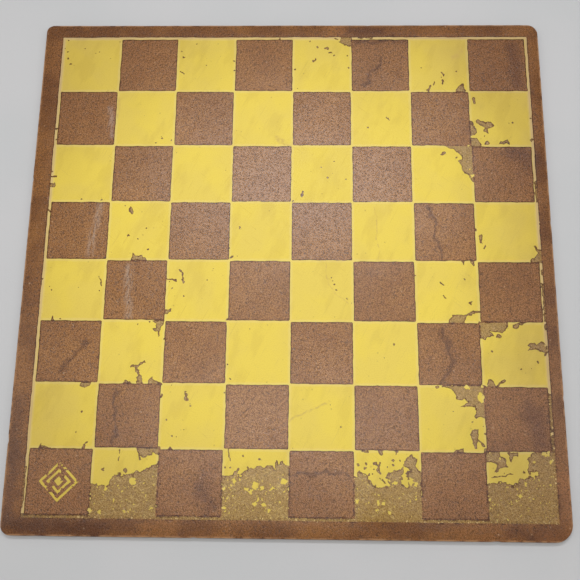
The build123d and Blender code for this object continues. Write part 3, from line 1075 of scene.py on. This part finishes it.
def board_outline():
    """Points round the board and their outward directions, with unequal worn corners and a few nicks."""
    half = panel_high.x
    corners = [(1, 1, 8.0), (-1, 1, 5.5), (-1, -1, 7.0), (1, -1, 12.0)]
    nicks = [(-190, 62, 2.2, 0.5), (-190, -128, 3.0, 0.7), (60, 190, 2.0, 0.4), (190, 30, 2.6, 0.5),
             (190, -96, 2.0, 0.6), (-60, -190, 2.4, 0.5), (140, -190, 3.2, 0.6), (-186, -186, 4.0, 0.7)]
    spacing = 2.5
    arc_steps = 10
    points = []
    for index, (side_x, side_y, radius) in enumerate(corners):
        start = index * pi / 2
        centre = ((half - radius) * side_x, (half - radius) * side_y)
        for step in range(arc_steps + 1):
            angle = start + step / arc_steps * pi / 2
            out = (cos(angle), sin(angle))
            points.append((centre[0] + radius * out[0], centre[1] + radius * out[1], *out))
        following = corners[(index + 1) % 4]
        out = (round(cos(start + pi / 2)), round(sin(start + pi / 2)))
        length = 2 * half - radius - following[2]
        count = int(length / spacing)
        last = points[-1]
        for step in range(1, count):
            travel = step / count * length
            points.append((last[0] - out[1] * travel, last[1] + out[0] * travel, *out))
    table = np.array(points)
    wear = 0.12 * np.maximum(wander(table[:, 0], table[:, 1], 11, 71), 0)
    wear += 0.05 * np.abs(wander(table[:, 0], table[:, 1], 2.5, 72))
    for x, y, reach, depth in nicks:
        distance = np.hypot(table[:, 0] - x, table[:, 1] - y)
        wear += depth * np.clip(1 - distance / reach, 0, 1)
    table[:, 0] -= wear * table[:, 2]
    table[:, 1] -= wear * table[:, 3]
    return table


def board_piece(material, grimed_material, grime_loops):
    """The hardboard panel: eased edges, flat top, and the star face below with its pits."""
    outline = board_outline()
    low = panel_low.z + REVERSE_Z
    high = panel_high.z
    ease = 0.6
    arc_steps = 4
    ease_wear = 1 + 0.5 * wander(outline[:, 0], outline[:, 1], 7, 73)
    profile = []
    for step in range(arc_steps + 1):
        angle = step / arc_steps * pi / 2
        profile.append((ease * (1 - sin(angle)), low + ease * (1 - cos(angle))))
    profile += [(inset, low + high - height) for inset, height in reversed(profile)]
    points = []
    for inset, height in profile:
        inner = inset * ease_wear
        ring = outline[:, :2] - outline[:, 2:] * inner[:, None]
        points += [(x, y, height) for x, y in ring]
    around = len(outline)
    faces = []
    for ring in range(len(profile) - 1):
        for k in range(around):
            following = (k + 1) % around
            base = ring * around
            faces.append((base + k, base + following, base + around + following, base + around + k))

    def patch(loops, height, upwards):
        """Fills the loops at a height with new points, and returns their corners."""
        flat, triangles = filled(loops)
        start = len(points)
        points.extend((p.x, p.y, height) for p in flat)
        for a, b, c in triangles:
            corner = (a, b, c) if upwards else (c, b, a)
            faces.append(tuple(start + i for i in corner))

    top_ring = np.array([p[:2] for p in points[-around:]])
    bottom_ring = np.array([p[:2] for p in points[:around]])
    patch([top_ring] + grime_loops, high, True)
    clean_faces = len(faces)
    patch(grime_loops, high, True)
    grimed_faces = len(faces)

    circle = pit_circle()
    patch([bottom_ring] + [circle * PIT_RIM + centre for centre in pit_centres()], low, False)
    for centre in pit_centres():
        add_pit(points, faces, centre, low)
    piece = new_piece("hardboard_board", points, faces, "hardboard_panel", material, True)
    piece.data.materials.append(grimed_material)
    slots = np.zeros(len(faces), int)
    slots[clean_faces:grimed_faces] = 1
    piece.data.polygons.foreach_set("material_index", slots)
    return piece


def weld(piece, distance):
    """Joins points that lie together, so the piece is one closed surface."""
    modifier = piece.modifiers.new("weld", "WELD")
    modifier.merge_threshold = distance * MM
    apply_modifiers(piece)


def apply_modifiers(piece):
    """Bakes the piece's modifiers into its mesh."""
    bpy.context.view_layer.update()
    graph = bpy.context.evaluated_depsgraph_get()
    mesh = bpy.data.meshes.new_from_object(piece.evaluated_get(graph))
    piece.modifiers.clear()
    piece.data = mesh


# ---- the pieces ----

# The line of grime beside the ink is uneven, so crumbs of noise are laid on while it is traced.
GRIME_WIDTH = 0.75
GRIME_UNEVEN = 0.3
field_ink = checker_field()
field_ink.values += GRIME_UNEVEN * field_ink.crumbs
grime = outlines(field_ink, GRIME_WIDTH)
field_ink.values -= GRIME_UNEVEN * field_ink.crumbs
board = board_piece(hardboard("hardboard", False), hardboard("hardboard_grimed", True), grime)
WELD_REACH = 0.001
weld(board, WELD_REACH)
board.data.set_sharp_from_angle(angle=radians(35))
for x, y, radius in ISLANDS:
    field_ink.add(*field_ink.near_line([(x, y)], radius))
scatter_crumbs(field_ink)
ink_material = yellow_ink()
film_piece("checker_field_ink", field_ink, panel_high.z - INK_SINK, INK_TOP,
           "checker_field_print", ink_material)
film_piece("corner_ornament_ink", corner_ornament(), panel_high.z - INK_SINK, INK_TOP,
           "corner_ornament_print", ink_material)

LINE_BLACK = ((40, 36, 34), (52, 47, 43))
CLOUD_SIZE = 22
# Each node's material name, then its darkest and palest colour.
star_inks = {
    "star_centre_print": ("star_yellow", (228, 196, 84), (236, 206, 98)),
    "star_outline_print": ("star_outline_black", *LINE_BLACK),
    "reverse_border_print": ("star_border_black", *LINE_BLACK),
    "star_point_red_print": ("star_point_red", (168, 42, 32), (184, 54, 40)),
    "star_point_yellow_print": ("star_point_yellow", (226, 186, 52), (236, 200, 66)),
    "star_point_green_print": ("star_point_green", (38, 106, 62), (50, 120, 72)),
    "star_point_black_print": ("star_point_black", (38, 36, 36), (50, 47, 45)),
    "star_point_blue_print": ("star_point_blue", (36, 66, 128), (48, 80, 142)),
    "star_point_white_print": ("star_point_white", (214, 208, 192), (226, 220, 204)),
}
for node, (name, dark, light) in star_inks.items():
    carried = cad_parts[node]
    carried.data.materials.clear()
    carried.data.materials.append(star_ink(name, dark, light, CLOUD_SIZE))


# ---- table, lights and camera ----


def table_piece():
    """A flat table top, far wider than the board."""
    reach = 8.0
    height = panel_low.z * MM
    mesh = bpy.data.meshes.new("table")
    corners = [(reach * side_x, reach * side_y, height) for side_x, side_y in CORNER_SIDES]
    mesh.from_pydata(corners, [], [(0, 1, 2, 3)])
    mesh.materials.append(table_top())
    table = bpy.data.objects.new("table", mesh)
    bpy.context.scene.collection.objects.link(table)


def soft_light(name, place, target, width, height, power, colour):
    """A rectangle of soft light, facing its target. Lengths in metres, power in watts."""
    light = bpy.data.lights.new(name, "AREA")
    light.shape = "RECTANGLE"
    light.size = width
    light.size_y = height
    light.energy = power
    light.color = colour
    holder = bpy.data.objects.new(name, light)
    holder.location = place
    holder.rotation_euler = (Vector(target) - Vector(place)).to_track_quat("-Z", "Y").to_euler()
    bpy.context.scene.collection.objects.link(holder)


table_piece()
soft_light("window_light", (0.0, 0.47, 1.10), (0, 0.05, 0), 0.61, 0.16, 5.0, (0.92, 0.94, 1.0))
soft_light("strip_light", (0.0, -0.07, 0.85), (0, -0.05, 0), 0.60, 0.05, 1.9, (0.94, 0.95, 1.0))
for side in (-1, 1):
    soft_light("side_light", (0.62 * side, -0.05, 0.70), (0, 0, 0), 0.4, 0.4, 0.76, (1.0, 0.97, 0.93))

world = bpy.data.worlds.new("studio")
world.use_nodes = True
background = world.node_tree.nodes["Background"]
background.inputs["Color"].default_value = (1, 1, 1, 1)
background.inputs["Strength"].default_value = 0.34
bpy.context.scene.world = world
bpy.context.scene.view_settings.view_transform = "Standard"

# The photo's viewing angle: half a metre above the board, nearer to its near edge, tilted back.
camera_data = bpy.data.cameras.new("camera")
camera_data.lens = 46.06
camera_data.sensor_width = 36.0
camera = bpy.data.objects.new("camera", camera_data)
camera.location = (0.01355, -0.14165, 0.5200)
camera.rotation_euler = (radians(13.179), radians(1.140), radians(0.626))
bpy.context.scene.collection.objects.link(camera)
bpy.context.scene.camera = camera
